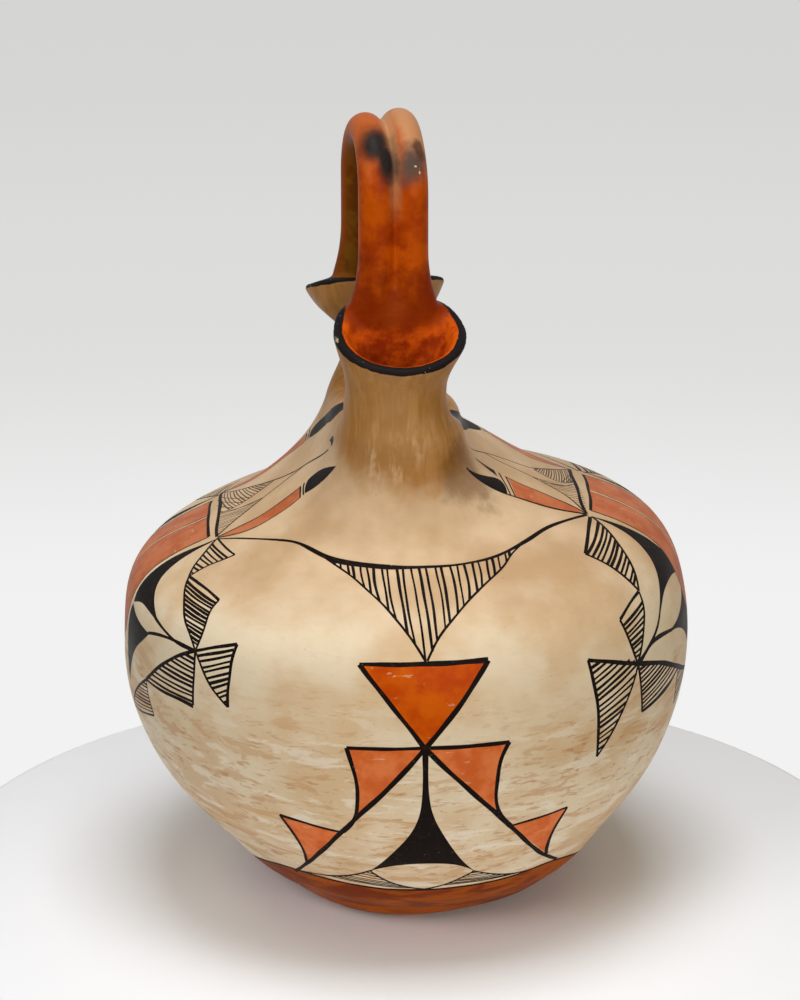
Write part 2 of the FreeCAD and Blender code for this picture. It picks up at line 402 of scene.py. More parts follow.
# triangles of a wall between a loop of the upper mesh and the pole; patches are closed outlines on the map
def wallMesh(line, loop, gap, patches=()):
    angle, level = sectionAngle(loop)
    rim = toDisc(angle, depthAt(line, level))
    order = np.argsort(angle)
    near = 0.7 / line["radius"][0]

    def clear(turn, room):
        turn = np.mod(turn + math.pi, 2 * math.pi) - math.pi
        return np.interp(turn, angle[order], depthAt(line, level)[order], period=2 * math.pi) + room * near

    flat = [rim]
    start = len(rim)
    faces = [list(range(start))]
    edgeDots = []
    for patch in patches:
        patch = np.stack([patch[:, 0], np.maximum(patch[:, 1], clear(patch[:, 0], 1.0))], axis=1)
        outline = toDisc(patch[:, 0], patch[:, 1])
        edgeDots.append(patch)
        turn = np.roll(outline, -1, axis=0)
        ring = list(range(start, start + len(outline)))
        area = (outline[:, 0] * turn[:, 1] - outline[:, 1] * turn[:, 0]).sum()
        faces.append(ring if area > 0 else ring[::-1])
        flat.append(outline)
        start += len(outline)
    turn = np.roll(rim, -1, axis=0)
    if (rim[:, 0] * turn[:, 1] - rim[:, 1] * turn[:, 0]).sum() < 0:
        faces[0] = faces[0][::-1]
    dotAngle, dotDepth = scatter(line, gap)
    lower = dotDepth > clear(dotAngle, 2.2)
    dotAngle, dotDepth = dotAngle[lower], dotDepth[lower]
    if edgeDots:
        # grid points that would crowd a painted edge are left out
        edges = np.concatenate(edgeDots)
        cell = gap * 0.62

        def cellOf(a, d):
            travel = np.interp(d, line["depth"], line["travel"])
            row = np.floor(travel / cell).astype(int)
            way = np.mod(a, 2 * math.pi) * np.interp((row + 0.5) * cell, line["travel"], line["radius"])
            return row, np.floor(way / cell).astype(int)
        rows, columns = cellOf(edges[:, 0], edges[:, 1])
        code = np.unique(rows * 100000 + columns)
        rows, columns = cellOf(dotAngle, dotDepth)
        free = ~np.isin(rows * 100000 + columns, code)
        dotAngle, dotDepth = dotAngle[free], dotDepth[free]
    flat.append(toDisc(dotAngle, dotDepth))
    flat = np.concatenate(flat)
    result = geometry.delaunay_2d_cdt([Vector(p) for p in flat], [], faces, 0, 1e-7, True)
    spots, triangles, source, owners = result[0], result[2], result[3], result[5]
    spots = np.array([tuple(p) for p in spots])
    keep = [k for k, owner in enumerate(owners) if 0 in owner]
    triangles = np.array([triangles[k] for k in keep])
    paint = np.array([max(owners[k]) for k in keep]) - 1
    rimIndex = np.full(len(spots), -1)
    for k, old in enumerate(source):
        first = [o for o in old if o < len(rim)]
        if first:
            rimIndex[k] = first[0]
    depth = -np.log(np.clip(np.hypot(spots[:, 0], spots[:, 1]), 1e-9, None))
    angle = np.arctan2(spots[:, 1], spots[:, 0])
    level = np.interp(depth, line["depth"], line["height"])
    scale = np.interp(depth, line["depth"], line["scale"])
    points = sectionPoint(angle, level, scale * line["inset"](level))
    return points, triangles, paint, rimIndex


cutHeight = 199.0
netStep = 1.35
lowCorner = (middle - 58.0, -74.0, cutHeight - 2.4 * netStep)
highCorner = (middle + 56.0, 74.0, handleForm["top"] + 3.0)
points, quads = netMesh(vaseGap, lowCorner, highCorner, netStep)
points = settle(vaseGap, points)
upperMesh = bpy.data.meshes.new("upperPart")
upperMesh.from_pydata(points, [], quads)
upper = bmesh.new()
upper.from_mesh(upperMesh)
everything = upper.verts[:] + upper.edges[:] + upper.faces[:]
bmesh.ops.bisect_plane(upper, geom=everything, plane_co=(0, 0, cutHeight), plane_no=(0, 0, 1),
                       clear_inner=True)
bmesh.ops.triangulate(upper, faces=upper.faces[:])
upper.verts.index_update()
upper.to_mesh(upperMesh)
upperPoints = np.empty((len(upperMesh.vertices), 3), np.float32)
upperMesh.vertices.foreach_get("co", upperPoints.ravel())
upperFaces = np.empty((len(upperMesh.polygons), 3), np.int32)
upperMesh.polygons.foreach_get("vertices", upperFaces.ravel())
upperPoints = upperPoints.astype(float)
# walk round the open edges: each one leads on to the next
after = {}
for edge in upper.edges:
    if edge.is_boundary:
        loop = edge.link_loops[0]
        after[loop.vert.index] = loop.link_loop_next.vert.index
upper.free()
bpy.data.meshes.remove(upperMesh)
loops = []
while after:
    first = next(iter(after))
    ring = [first]
    follow = after.pop(first)
    while follow != first:
        ring.append(follow)
        follow = after.pop(follow)
    loops.append(np.array(ring))
loops.sort(key=lambda ring: -np.ptp(upperPoints[ring, 1]))
print("upper mesh", len(upperPoints), "points", [len(ring) for ring in loops])
rimPoints = settle(vaseGap, upperPoints[np.concatenate(loops)], flat=True)
upperPoints[np.concatenate(loops)] = rimPoints

heights = np.linspace(b["saddleHeight"] + 4.0, 0.0, 520)
outerRadius = np.sqrt(halfWidthAt(heights) * (halfWidthAt(heights) + stretchAt(heights)))
outerLine = meridian(outerRadius, heights, lambda z: 1.0 + 0 * z)
lowWall = np.linspace(cutHeight + 1.5, b["floor"] + 6.0, 300)
innerRadius = np.sqrt(halfWidthAt(lowWall) * (halfWidthAt(lowWall) + stretchAt(lowWall))) - b["wall"]
innerLine = meridian(innerRadius, lowWall, lambda z: 1.0 - 1.25 * b["wall"] / halfWidthAt(z))

# An outline is a list of (degrees from the front motif's axis, height of the section) and is drawn as a
# smooth line on the same map as the wall, where angle and depth have one scale in every direction.
patternTurn = -8.3
paintColour = {"black": 1, "orange": 2, "terracotta": 3, "brown": 4, "underside": 5, "cream": 0}
patches = []
handWobble = {"width": 0.13, "drift": 0.10, "step": 1.7}


def onMap(points):
    points = np.array(points, float)
    return np.stack([np.radians(points[:, 0] + patternTurn - 90), depthAt(outerLine, points[:, 1])], axis=1)


def radiusAtDepth(depth):
    return np.interp(depth, outerLine["depth"], outerLine["radius"])


# smooth line through points on the map, sampled evenly; returns places and their share of the length
def draw(points, step=None):
    knots = onMap(points)
    legs = np.hypot(*np.diff(knots, axis=0).T)
    along = np.concatenate([[0.0], np.cumsum(legs)])
    length = (legs * radiusAtDepth((knots[1:, 1] + knots[:-1, 1]) / 2)).sum()
    share = np.linspace(0, 1, max(2, int(math.ceil(length / (step or handWobble["step"])))) + 1)
    if len(knots) == 2:
        return knots[0] + share[:, None] * (knots[1] - knots[0]), share, length
    spot = share * along[-1]
    return np.stack([curveThrough(along, knots[:, k])(spot) for k in (0, 1)], axis=1), share, length


def waver(share, length, seed):
    s = share * length
    return np.sin(s / 3.1 + seed) * 0.6 + np.sin(s / 7.7 + 2.3 * seed) * 0.4


# a brush line of one width, or of widths spread evenly along it
def stroke(points, width, colour="black"):
    places, share, length = draw(points)
    seed = len(patches) * 1.7
    if np.ndim(width):
        width = np.interp(share, np.linspace(0, 1, len(width)), width)
    radius = radiusAtDepth(places[:, 1])
    half = width * (1 + handWobble["width"] * waver(share, length, seed)) / 2 / radius
    drift = handWobble["drift"] * waver(share, length, seed + 5.0) / radius
    way = np.gradient(places, axis=0)
    way /= np.linalg.norm(way, axis=1)[:, None]
    across = np.stack([-way[:, 1], way[:, 0]], axis=1)
    first = places + across * (drift + half)[:, None]
    second = places + across * (drift - half)[:, None]
    patches.append({"outline": np.concatenate([first, second[::-1]]), "colour": paintColour[colour]})


# a filled patch between lines that follow each other round it
def fill(colour, *lines):
    outline = np.concatenate([draw(line)[0][:-1] for line in lines])
    patches.append({"outline": outline, "colour": paintColour[colour]})


# brush lines ruled from one edge to another, both walked from start to end; slant sets the second end ahead
def hatch(first, second, count, width=0.85, colour="black", start=0.0, end=1.0, slant=0.0):
    a, b = draw(first, 0.6)[0], draw(second, 0.6)[0]
    for k in range(count):
        t = start + (end - start) * (k + 0.5 + 0.1 * math.sin(2.4 * k + count)) / count
        ends = []
        for line, ahead in ((a, 0.0), (b, slant)):
            spot = min(1.0, t + ahead) * (len(line) - 1)
            ends.append([np.interp(spot, np.arange(len(line)), line[:, axis]) for axis in (0, 1)])
        degrees = [math.degrees(place[0]) - patternTurn + 90 for place in ends]
        levels = [float(np.interp(place[1], outerLine["depth"], outerLine["height"])) for place in ends]
        stroke(list(zip(degrees, levels)), width * (1 + 0.16 * math.sin(5.1 * k + 1.3)), colour)


# upright brush lines between two edges, evenly spaced at every height on both sides of a middle angle
def fence(top, low, middleAngle, start, end, count, width):
    for k in range(count):
        a = start + (end - start) * (k + 0.14 * math.sin(3.7 * k)) / (count - 1)
        topLevel = float(np.interp(a, *zip(*top)))
        foot = (a, topLevel)
        for turn in range(6):
            level = float(np.interp(foot[0], *zip(*low)))
            ratio = float(halfWidthAt(topLevel) / halfWidthAt(level))
            foot = (middleAngle + (a - middleAngle) * ratio, (level + foot[1]) / 2 if turn else level)
        centre = ((a + foot[0]) / 2 + 0.2 * math.sin(2.9 * k), (topLevel + foot[1]) / 2)
        stroke([(a, topLevel), centre, foot], width * (1 + 0.2 * math.sin(4.3 * k + 0.7)))


def turned(points, step=8.3):
    return [(a + step, z) for a, z in points]


def paintFront():
    # swag
    swagTop = turned([(-78.6, 164.6), (-69.8, 167.2), (-58.8, 169.3), (-48.8, 170.4), (-37.4, 169.0),
                      (-30.0, 167.4), (-22.0, 166.4), (-13.9, 165.6), (1.7, 164.4), (16.9, 163.8),
                      (30.7, 164.7), (46.4, 165.4), (62.4, 162.8)])
    lowLeft = turned([(-31.5, 167.2), (-26.0, 165.4), (-22.3, 163.8), (-18.0, 161.3), (-14.7, 158.8),
                      (-11.8, 155.8), (-9.0, 151.5), (-6.7, 146.1), (-4.5, 138.4)])
    lowRight = turned([(31.0, 164.6), (25.0, 163.2), (20.5, 161.4), (13.5, 158.8), (7.6, 155.6),
                       (2.5, 151.3), (-1.1, 146.6), (-4.5, 138.4)])
    fence(swagTop, lowLeft + lowRight[-2::-1], 3.8, -20.5, 36.5, 27, 1.0)
    stroke(swagTop, (0.8, 1.0, 1.1, 1.3, 2.6, 3.1, 2.4, 1.5, 1.3, 1.5, 2.2, 1.5, 1.3))
    stroke(lowLeft, (0.7, 0.9, 0.9, 1.0, 1.0, 1.0))
    stroke(lowRight, (0.7, 0.9, 0.9, 1.0, 1.0, 1.0))
    # triangle under the swag
    corners = turned([(-17.7, 138.8), (7.7, 136.4), (-5.9, 104.0)])
    fill("orange", corners[:2], corners[1:], [corners[2], corners[0]])
    stroke([corners[0], ((corners[0][0] + corners[1][0]) / 2, 137.9), corners[1]], (1.5, 2.0, 2.3))
    stroke([corners[1], corners[2]], 2.1)
    stroke([corners[0], corners[2]], 1.9)
    # pennants
    crossing = (2.4, 104.2)
    slopeLeft = turned([(-5.9, 104.2), (-12.8, 87.3), (-20.9, 69.7), (-38.1, 36.8), (-46.1, 27.3)])
    slopeRight = turned([(-5.9, 104.2), (2.1, 85.2), (12.9, 61.8), (28.6, 35.9), (36.6, 28.6)])
    edgeLeft = turned([(-20.9, 104.8), (-19.9, 97.0), (-19.3, 89.0), (-19.4, 80.6), (-20.9, 69.7),
                       (-23.8, 63.0)])
    edgeRight = turned([(10.6, 102.8), (8.9, 95.0), (8.5, 86.3), (8.6, 76.8), (10.1, 68.6), (12.9, 61.8)])
    fill("terracotta", [crossing, edgeLeft[0]], edgeLeft, slopeLeft[2::-1])
    fill("terracotta", [crossing, edgeRight[0]], edgeRight, slopeRight[2::-1])
    smallLeft = turned([(-37.6, 67.4), (-33.2, 66.1), (-28.5, 64.2), (-23.8, 62.9)])
    smallRight = turned([(26.8, 64.3), (19.8, 63.2), (12.9, 62.0)])
    tailLeft = turned([(-37.6, 67.4), (-36.1, 58.2), (-35.9, 48.0), (-38.1, 36.8)])
    tailRight = turned([(26.8, 64.3), (25.5, 55.3), (25.7, 46.8), (28.6, 36.5)])
    fill("terracotta", smallLeft, turned([(-23.8, 62.9), (-38.1, 36.8)]), tailLeft[::-1])
    fill("terracotta", smallRight, turned([(12.9, 62.0), (28.6, 36.5)]), tailRight[::-1])
    stroke([edgeLeft[0], crossing], 1.6)
    stroke([crossing, edgeRight[0]], 1.7)
    stroke(edgeLeft, (1.8, 1.7, 1.5, 1.6, 2.4))
    stroke(edgeRight, (1.8, 1.6, 1.5, 1.7, 2.6))
    stroke(slopeLeft, (2.1, 2.2, 2.1, 1.9, 1.5))
    stroke(slopeRight, (2.1, 2.1, 2.0, 1.9, 1.7))
    stroke(smallLeft, (1.7, 1.4, 1.3))
    stroke(smallRight, 1.3)
    stroke(tailLeft, 1.4)
    stroke(tailRight, (1.3, 1.6, 1.9))
    # tent and lens over the foot
    tentLeft = turned([(-6.5, 104.2), (-6.4, 89.8), (-6.6, 81.6), (-7.2, 72.9), (-9.4, 62.6), (-13.0, 53.3),
                       (-17.8, 43.1), (-20.2, 39.0)])
    tentRight = turned([(-5.2, 104.2), (-5.3, 89.7), (-5.1, 81.4), (-4.3, 72.5), (-2.4, 63.0), (0.2, 53.3),
                        (4.0, 42.7), (6.8, 37.2)])
    tentFoot = turned([(-20.2, 39.0), (-14.6, 43.3), (-9.3, 45.1), (-4.1, 45.0), (1.2, 43.1), (6.8, 37.2)])
    fill("black", tentLeft, tentFoot, tentRight[::-1], [tentRight[0], tentLeft[0]])
    arcLeft = turned([(-19.5, 39.7), (-24.0, 35.6), (-29.0, 32.3), (-34.7, 30.2), (-39.1, 29.6),
                      (-43.2, 29.0)])
    arcRight = turned([(6.2, 37.6), (11.0, 33.9), (16.9, 30.9), (22.3, 29.3), (28.6, 28.7), (36.6, 28.6)])
    lensLeft = turned([(-20.2, 39.0), (-16.7, 33.1), (-12.3, 29.5), (-8.7, 27.7), (-6.1, 27.1)])
    lensRight = turned([(6.8, 37.2), (2.1, 31.9), (-2.0, 28.9), (-6.1, 27.1)])
    hatch(arcLeft[:4], lensLeft[:4], 7, 0.8, start=0.06)
    hatch(arcRight[:4], lensRight[:3], 7, 0.8, start=0.06)
    for line in (arcLeft, arcRight, lensLeft, lensRight):
        stroke(line, 1.1)


def paintLeft():
    top = (-70.7, 164.8)
    # hatched sails from the strip down to the knot and below it
    sailEdge = turned([(-78.8, 164.7), (-77.2, 163.4), (-74.0, 160.8), (-72.2, 158.6), (-69.8, 156.2)])
    sailLow = turned([(-64.0, 164.0), (-65.6, 162.2), (-67.5, 160.4), (-69.8, 156.2)])
    hatch(sailEdge, sailLow, 8, 0.9, start=0.1, end=0.96)
    stroke([top, turned([(-64.0, 164.0)])[0]], 0.9)
    stroke(sailEdge, 1.1)
    stroke(sailLow, 1.0)
    bladeLeft = turned([(-69.8, 156.2), (-67.6, 153.7), (-63.8, 149.5), (-60.5, 144.7), (-57.9, 140.9),
                        (-55.2, 135.3)])
    bladeRight = turned([(-54.4, 153.8), (-54.8, 150.5), (-54.3, 145.9), (-54.3, 141.0), (-55.2, 135.3)])
    hatch(bladeLeft, bladeRight, 13, 1.15, start=0.04, end=0.93)
    stroke([bladeLeft[0], turned([(-61.8, 155.6)])[0], bladeRight[0]], 1.3)
    stroke(bladeLeft, 1.1)
    stroke(bladeRight, 1.1)
    finLeft = turned([(-55.2, 135.3), (-53.0, 129.2), (-50.3, 122.3), (-46.1, 115.4)])
    finRight = turned([(-44.5, 142.0), (-45.2, 136.3), (-45.6, 129.2), (-46.1, 122.6), (-46.1, 115.4)])
    hatch(finLeft, finRight, 10, 1.15, start=0.05, end=0.95)
    stroke(turned([(-55.2, 135.3), (-49.4, 139.2), (-44.5, 142.0)]), (1.3, 1.6))
    stroke(finLeft, 1.1)
    stroke(finRight, 1.5)
    wingTop = turned([(-55.2, 135.3), (-60.7, 130.0), (-66.1, 123.0), (-73.0, 111.6)])
    wingRight = turned([(-55.2, 135.3), (-55.1, 127.3), (-55.4, 118.9), (-55.4, 111.7)])
    hatch(wingTop, wingRight, 10, 1.2, start=0.12, end=0.98)
    stroke(wingTop, 1.6)
    stroke(wingRight, 1.2)
    stroke(turned([(-73.0, 111.6), (-66.9, 111.3), (-60.5, 111.7), (-55.4, 111.2)]), (1.2, 1.8))
    tailLeft = turned([(-73.0, 111.6), (-77.8, 104.8), (-82.2, 97.1), (-86.0, 89.0)])
    tailRight = turned([(-73.0, 111.6), (-72.3, 105.1), (-71.3, 100.4), (-70.5, 96.5)])
    hatch(tailLeft, tailRight, 9, 0.75, start=0.1, end=0.95)
    stroke(tailLeft, 1.2)
    stroke(tailRight, 0.9)
    stroke(turned([(-86.0, 89.0), (-77.5, 92.6), (-70.5, 96.5)]), 1.0)
    # black leaf, its petal and the crescent below it
    leafOuter = turned([(-78.6, 164.6), (-80.6, 161.5), (-82.6, 158.4), (-83.8, 154.7), (-84.6, 149.9),
                        (-85.0, 143.7), (-84.6, 138.2)])
    leafInner = turned([(-78.2, 164.2), (-78.9, 161.6), (-79.3, 158.4), (-79.2, 154.8), (-78.4, 151.4),
                        (-76.4, 147.7), (-73.8, 144.4), (-70.5, 140.6)])
    petalTop = turned([(-84.6, 138.2), (-79.8, 141.2), (-75.2, 140.9), (-70.5, 139.6)])
    fill("black", leafOuter, petalTop, [petalTop[-1], leafInner[-1]], leafInner[::-1])
    stroke(turned([(-71.5, 140.6), (-65.9, 137.6), (-61.2, 135.6), (-55.2, 135.0)]), (1.6, 1.2, 1.7))
    crescentOuter = turned([(-84.8, 137.8), (-86.2, 130.0), (-86.6, 120.0), (-86.2, 110.0), (-85.2, 101.0)])
    petalLow = turned([(-84.8, 137.8), (-82.4, 135.9), (-78.1, 133.9), (-72.3, 132.6)])
    crescentInner = turned([(-72.3, 132.6), (-75.0, 128.0), (-79.0, 121.8), (-82.4, 113.1), (-84.2, 105.4),
                            (-85.2, 101.0)])
    fill("black", crescentOuter, crescentInner[::-1], petalLow[::-1])
    stroke(turned([(-73.0, 132.5), (-67.8, 135.0), (-61.9, 135.8), (-55.2, 135.2)]), (1.6, 1.3, 1.6))


def paintRight():
    sailLeft = turned([(61.9, 162.2), (53.5, 160.6), (44.2, 157.5)])
    sailRight = turned([(62.6, 162.0), (58.5, 157.6), (55.0, 153.1), (52.2, 147.6), (49.5, 141.8)])
    sailLow = turned([(44.2, 157.5), (46.1, 154.0), (47.7, 149.2), (49.5, 141.8)])
    hatch(turned([(61.5, 161.0), (58.5, 157.6), (55.0, 153.1), (52.2, 147.6), (50.2, 143.6)]), sailLow, 11,
          1.15, end=0.93)
    stroke(sailLeft, 1.5)
    stroke(sailLow, 1.3)
    stroke(sailRight, 1.3)
    bladeTop = turned([(49.3, 141.6), (44.5, 139.8), (40.0, 136.5)])
    bladeLeft = turned([(40.0, 136.5), (41.1, 128.1), (42.6, 118.0)])
    bladeRight = turned([(49.3, 141.6), (48.5, 135.2), (46.8, 129.6), (45.0, 123.9), (42.8, 117.8)])
    hatch(bladeLeft, bladeRight, 9, 1.1, start=0.1, end=0.92)
    for line in (bladeTop, bladeLeft, bladeRight):
        stroke(line, 1.3)
    bannerLeft = turned([(29.1, 127.2), (29.7, 118.7), (30.5, 109.5), (31.0, 98.4), (31.5, 85.8)])
    bannerRight = turned([(42.8, 117.4), (40.2, 108.8), (37.1, 100.1), (34.4, 92.6), (31.5, 85.8)])
    bannerTop = turned([(29.1, 127.2), (35.1, 123.0), (42.8, 117.4)])
    hatch(bannerLeft, turned([(29.6, 127.0), (35.1, 123.0), (42.6, 117.0), (40.2, 108.8), (37.1, 100.1),
                              (34.4, 92.6), (31.7, 86.6)]),
          16, 1.15, start=0.06, end=0.95)
    stroke(bannerTop, (1.5, 1.9))
    stroke(bannerLeft, (1.5, 1.7, 1.5))
    stroke(bannerRight, 1.2)
    wingTop = turned([(42.8, 117.4), (49.0, 113.6), (55.5, 108.4), (61.7, 102.8)])
    wingLeft = turned([(42.8, 117.2), (43.5, 107.5), (44.4, 96.7)])
    wingLow = turned([(61.7, 102.2), (55.5, 99.7), (49.4, 97.9), (44.4, 96.7)])
    hatch(wingLeft, turned([(43.8, 116.6), (49.0, 113.6), (55.5, 108.4), (61.0, 103.2)]), 10, 1.1,
          start=0.08, end=0.97)
    stroke(turned([(42.8, 117.4), (49.0, 113.6), (55.5, 108.4), (61.7, 102.8), (73.4, 93.4)]),
           (1.9, 2.0, 1.9))
    stroke(wingLeft, 1.3)
    stroke(wingLow, (1.3, 2.1, 1.3))
    tailLeft = turned([(61.8, 102.1), (61.4, 96.0), (62.1, 86.9)])
    tailRight = turned([(73.4, 93.4), (67.5, 91.0), (62.1, 86.9)])
    hatch(tailLeft, turned([(62.5, 101.8), (68.0, 97.4), (73.0, 93.4)]), 8, 0.75, start=0.1, end=0.95)
    stroke(tailLeft, 1.0)
    stroke(tailRight, 1.0)
    # black leaf, its petal and the crescent below it
    leafOuter = turned([(62.4, 162.2), (64.8, 158.7), (66.8, 154.0), (68.4, 148.5), (69.8, 142.6),
                        (71.5, 134.6)])
    leafInner = turned([(62.3, 161.9), (63.1, 158.6), (63.0, 154.3), (61.9, 149.3), (60.1, 143.6),
                        (57.2, 137.1), (54.6, 131.8)])
    petalTop = turned([(71.5, 134.6), (67.0, 136.6), (62.6, 136.6), (57.9, 134.4), (54.8, 130.4)])
    fill("black", leafOuter, petalTop, [petalTop[-1], leafInner[-1]], leafInner[::-1])
    stroke(turned([(54.8, 131.4), (51.1, 125.0), (48.2, 122.2), (43.0, 117.6)]), (1.4, 1.4, 2.0))
    crescentOuter = turned([(71.6, 134.4), (73.4, 127.0), (74.2, 119.0), (74.0, 111.0), (72.6, 104.6)])
    petalLow = turned([(71.6, 134.4), (70.6, 128.1), (67.2, 124.0), (62.3, 121.4), (57.5, 120.8)])
    crescentInner = turned([(57.5, 120.0), (61.0, 118.9), (66.6, 114.3), (70.4, 108.6), (72.6, 104.6)])
    fill("black", crescentOuter, crescentInner[::-1], [crescentInner[0], petalLow[-1]], petalLow[::-1])
    stroke(turned([(43.6, 117.6), (47.2, 121.2), (52.0, 122.1), (58.5, 120.2)]), (1.6, 2.0, 1.4))


# a long feather: red vane, two bars and a black tip, between an inner and an outer edge
def feather(redLow, redTop, tipLow, tipTop, bars, lines):
    fill("terracotta", redLow, [redLow[-1], redTop[-1]], redTop[::-1])
    fill("black", tipLow, tipTop[::-1])
    stroke(redLow, lines, "brown")
    stroke(redTop, lines, "brown")
    for bar in bars:
        stroke(bar, 0.65)


# a slim leaf on the strip; ribs are ruled from the foot or, with a lift, from the top edge to the low one
def slimLeaf(foot, low, top, lift=None):
    if lift is None:
        hatch(foot[::-1], low, 14, 0.42, "brown", start=0.03, end=0.97)
    else:
        hatch(top, low, 17, 0.42, "brown", start=0.0, end=0.92, slant=lift)
        hatch(foot, low[:3], 4, 0.42, "brown")
    stroke(low, 0.6, "brown")
    stroke(top, 0.6, "brown")


def paintShoulder():
    # left side, front and back
    feather(turned([(-79.2, 164.8), (-74.6, 167.2), (-70.8, 170.6), (-68.9, 174.1), (-67.4, 178.2),
                    (-67.4, 181.4)]),
            turned([(-79.4, 164.9), (-78.6, 167.0), (-77.4, 169.6), (-75.6, 173.2), (-75.0, 177.2),
                    (-74.8, 183.0)]),
            turned([(-67.3, 182.7), (-64.4, 185.0), (-60.6, 188.0), (-57.4, 190.7), (-54.0, 193.6)]),
            turned([(-67.3, 182.7), (-71.7, 184.0), (-74.9, 185.9), (-73.4, 188.0), (-66.6, 190.9),
                    (-54.0, 193.6)]),
            [turned([(-75.2, 183.4), (-71.0, 182.4), (-67.2, 181.3)]),
             turned([(-75.3, 184.6), (-71.2, 183.3), (-67.0, 182.2)])],
            (1.0, 0.7, 0.6))
    feather(turned([(-121.0, 164.3), (-116.5, 172.0), (-114.2, 177.5), (-113.2, 183.0), (-109.8, 188.3)]),
            turned([(-121.0, 164.3), (-124.0, 170.5), (-125.0, 177.0), (-122.6, 183.4), (-119.0, 188.6)]),
            turned([(-107.2, 190.4), (-101.0, 193.6), (-94.0, 198.0), (-86.9, 203.1), (-83.8, 206.9),
                    (-79.0, 211.5)]),
            turned([(-107.2, 190.4), (-113.6, 191.4), (-109.2, 196.2), (-99.7, 201.7), (-93.8, 206.0),
                    (-91.0, 208.6), (-79.0, 211.5)]),
            [turned([(-119.0, 188.8), (-114.0, 189.0), (-109.4, 188.6)]),
             turned([(-118.4, 190.4), (-113.0, 190.2), (-108.2, 189.7)])],
            (1.0, 0.7, 0.6))
    upLine = turned([(-121.0, 164.3), (-115.1, 167.6), (-105.9, 172.8), (-97.5, 177.4), (-93.2, 180.2),
                     (-90.3, 183.2), (-87.7, 187.0), (-82.7, 190.9), (-73.8, 195.4)])
    downLine = turned([(-80.3, 165.0), (-82.6, 167.2), (-84.6, 169.6), (-86.0, 172.3), (-87.3, 175.4),
                       (-88.0, 179.6), (-88.4, 183.6), (-87.7, 187.0)])
    stroke(upLine, (0.7, 0.6, 0.6, 0.9), "brown")
    stroke(downLine, (1.0, 0.6, 0.5), "brown")
    slimLeaf(turned([(-96.4, 166.8), (-119.5, 164.6)]),
             turned([(-96.4, 166.8), (-94.4, 168.8), (-94.2, 174.4), (-94.4, 179.2)]), upLine[:5], 0.16)
    slimLeaf(turned([(-95.6, 166.7), (-80.8, 165.0)]), downLine[:5],
             turned([(-95.6, 166.7), (-93.9, 168.4), (-91.3, 170.3), (-89.3, 172.7), (-87.3, 175.4)]))
    fill("black", turned([(-79.0, 197.4), (-75.0, 198.0), (-71.4, 196.8)]),
         turned([(-71.4, 196.8), (-71.6, 199.8), (-75.6, 200.4), (-79.0, 197.4)]))
    stroke(turned([(-79.8, 164.8), (-86.4, 165.7), (-92.7, 166.4), (-102.2, 166.7), (-111.7, 165.8),
                   (-121.0, 164.3)]), 1.5)
    # right side, front and back
    feather(turned([(62.6, 162.9), (60.4, 164.9), (57.4, 167.5), (54.0, 171.4), (50.9, 175.0)]),
            turned([(62.9, 163.0), (64.1, 165.4), (64.5, 168.7), (64.4, 172.2), (63.4, 176.3),
                    (63.4, 180.0)]),
            turned([(49.1, 176.9), (46.2, 180.2), (42.5, 184.4), (38.0, 191.6)]),
            turned([(49.1, 176.9), (57.4, 181.4), (48.8, 185.6), (38.0, 191.6)]),
            [turned([(63.6, 180.4), (57.0, 178.0), (50.8, 175.2)]),
             turned([(64.0, 182.2), (57.0, 179.6), (50.0, 176.3)])],
            (1.1, 0.7, 0.6))
    stroke(turned([(62.6, 162.9), (57.4, 167.5), (50.9, 175.0), (46.2, 180.2), (38.0, 191.6)]),
           (1.3, 1.0, 1.2))
    fill("black", turned([(59.4, 182.0), (60.6, 184.4), (61.2, 187.6), (58.7, 192.0)]),
         turned([(58.7, 192.0), (62.2, 189.4), (64.0, 186.0), (64.0, 182.4)]))
    feather(turned([(100.6, 164.6), (99.4, 169.2), (98.6, 172.0), (100.4, 175.0), (102.6, 178.0),
                    (104.0, 181.2)]),
            turned([(100.6, 164.6), (105.0, 168.5), (109.0, 173.5), (112.4, 180.6)]),
            turned([(105.2, 184.0), (98.0, 187.6), (91.5, 192.5), (81.0, 198.5), (70.0, 204.0),
                    (60.0, 208.5)]),
            turned([(105.2, 184.0), (113.4, 184.2), (106.0, 191.5), (95.0, 198.8), (80.0, 206.0),
                    (60.0, 208.5)]),
            [turned([(112.6, 181.4), (108.0, 181.8), (104.2, 181.8)]),
             turned([(113.0, 182.9), (108.4, 182.8), (104.4, 182.8)])],
            (1.0, 0.7, 0.6))
    upLine = turned([(100.0, 164.5), (94.9, 167.5), (89.8, 170.8), (85.4, 173.8), (83.6, 177.2),
                     (82.3, 181.0), (79.6, 186.2), (74.0, 190.8), (63.2, 196.9)])
    downLine = turned([(63.0, 163.0), (68.1, 165.9), (71.7, 168.3), (73.6, 170.9), (75.4, 174.3),
                       (76.6, 179.0), (77.6, 183.8), (78.6, 187.2)])
    stroke(upLine, (0.7, 0.6, 0.6, 0.9), "brown")
    stroke(downLine, (1.0, 0.6, 0.5), "brown")
    slimLeaf(turned([(86.4, 165.5), (99.0, 164.7)]),
             turned([(86.4, 165.5), (82.6, 167.0), (80.9, 168.8), (81.8, 171.0), (84.4, 173.4)]),
             upLine[:4], 0.12)
    slimLeaf(turned([(84.4, 165.5), (64.0, 163.2)]), downLine[:5],
             turned([(84.4, 165.5), (79.3, 167.4), (76.6, 169.5), (75.8, 171.6), (75.6, 174.0)]))
    stroke(turned([(62.8, 162.9), (68.1, 164.4), (77.2, 165.3), (85.1, 165.6), (96.9, 165.0),
                   (100.6, 164.4)]), 1.5)


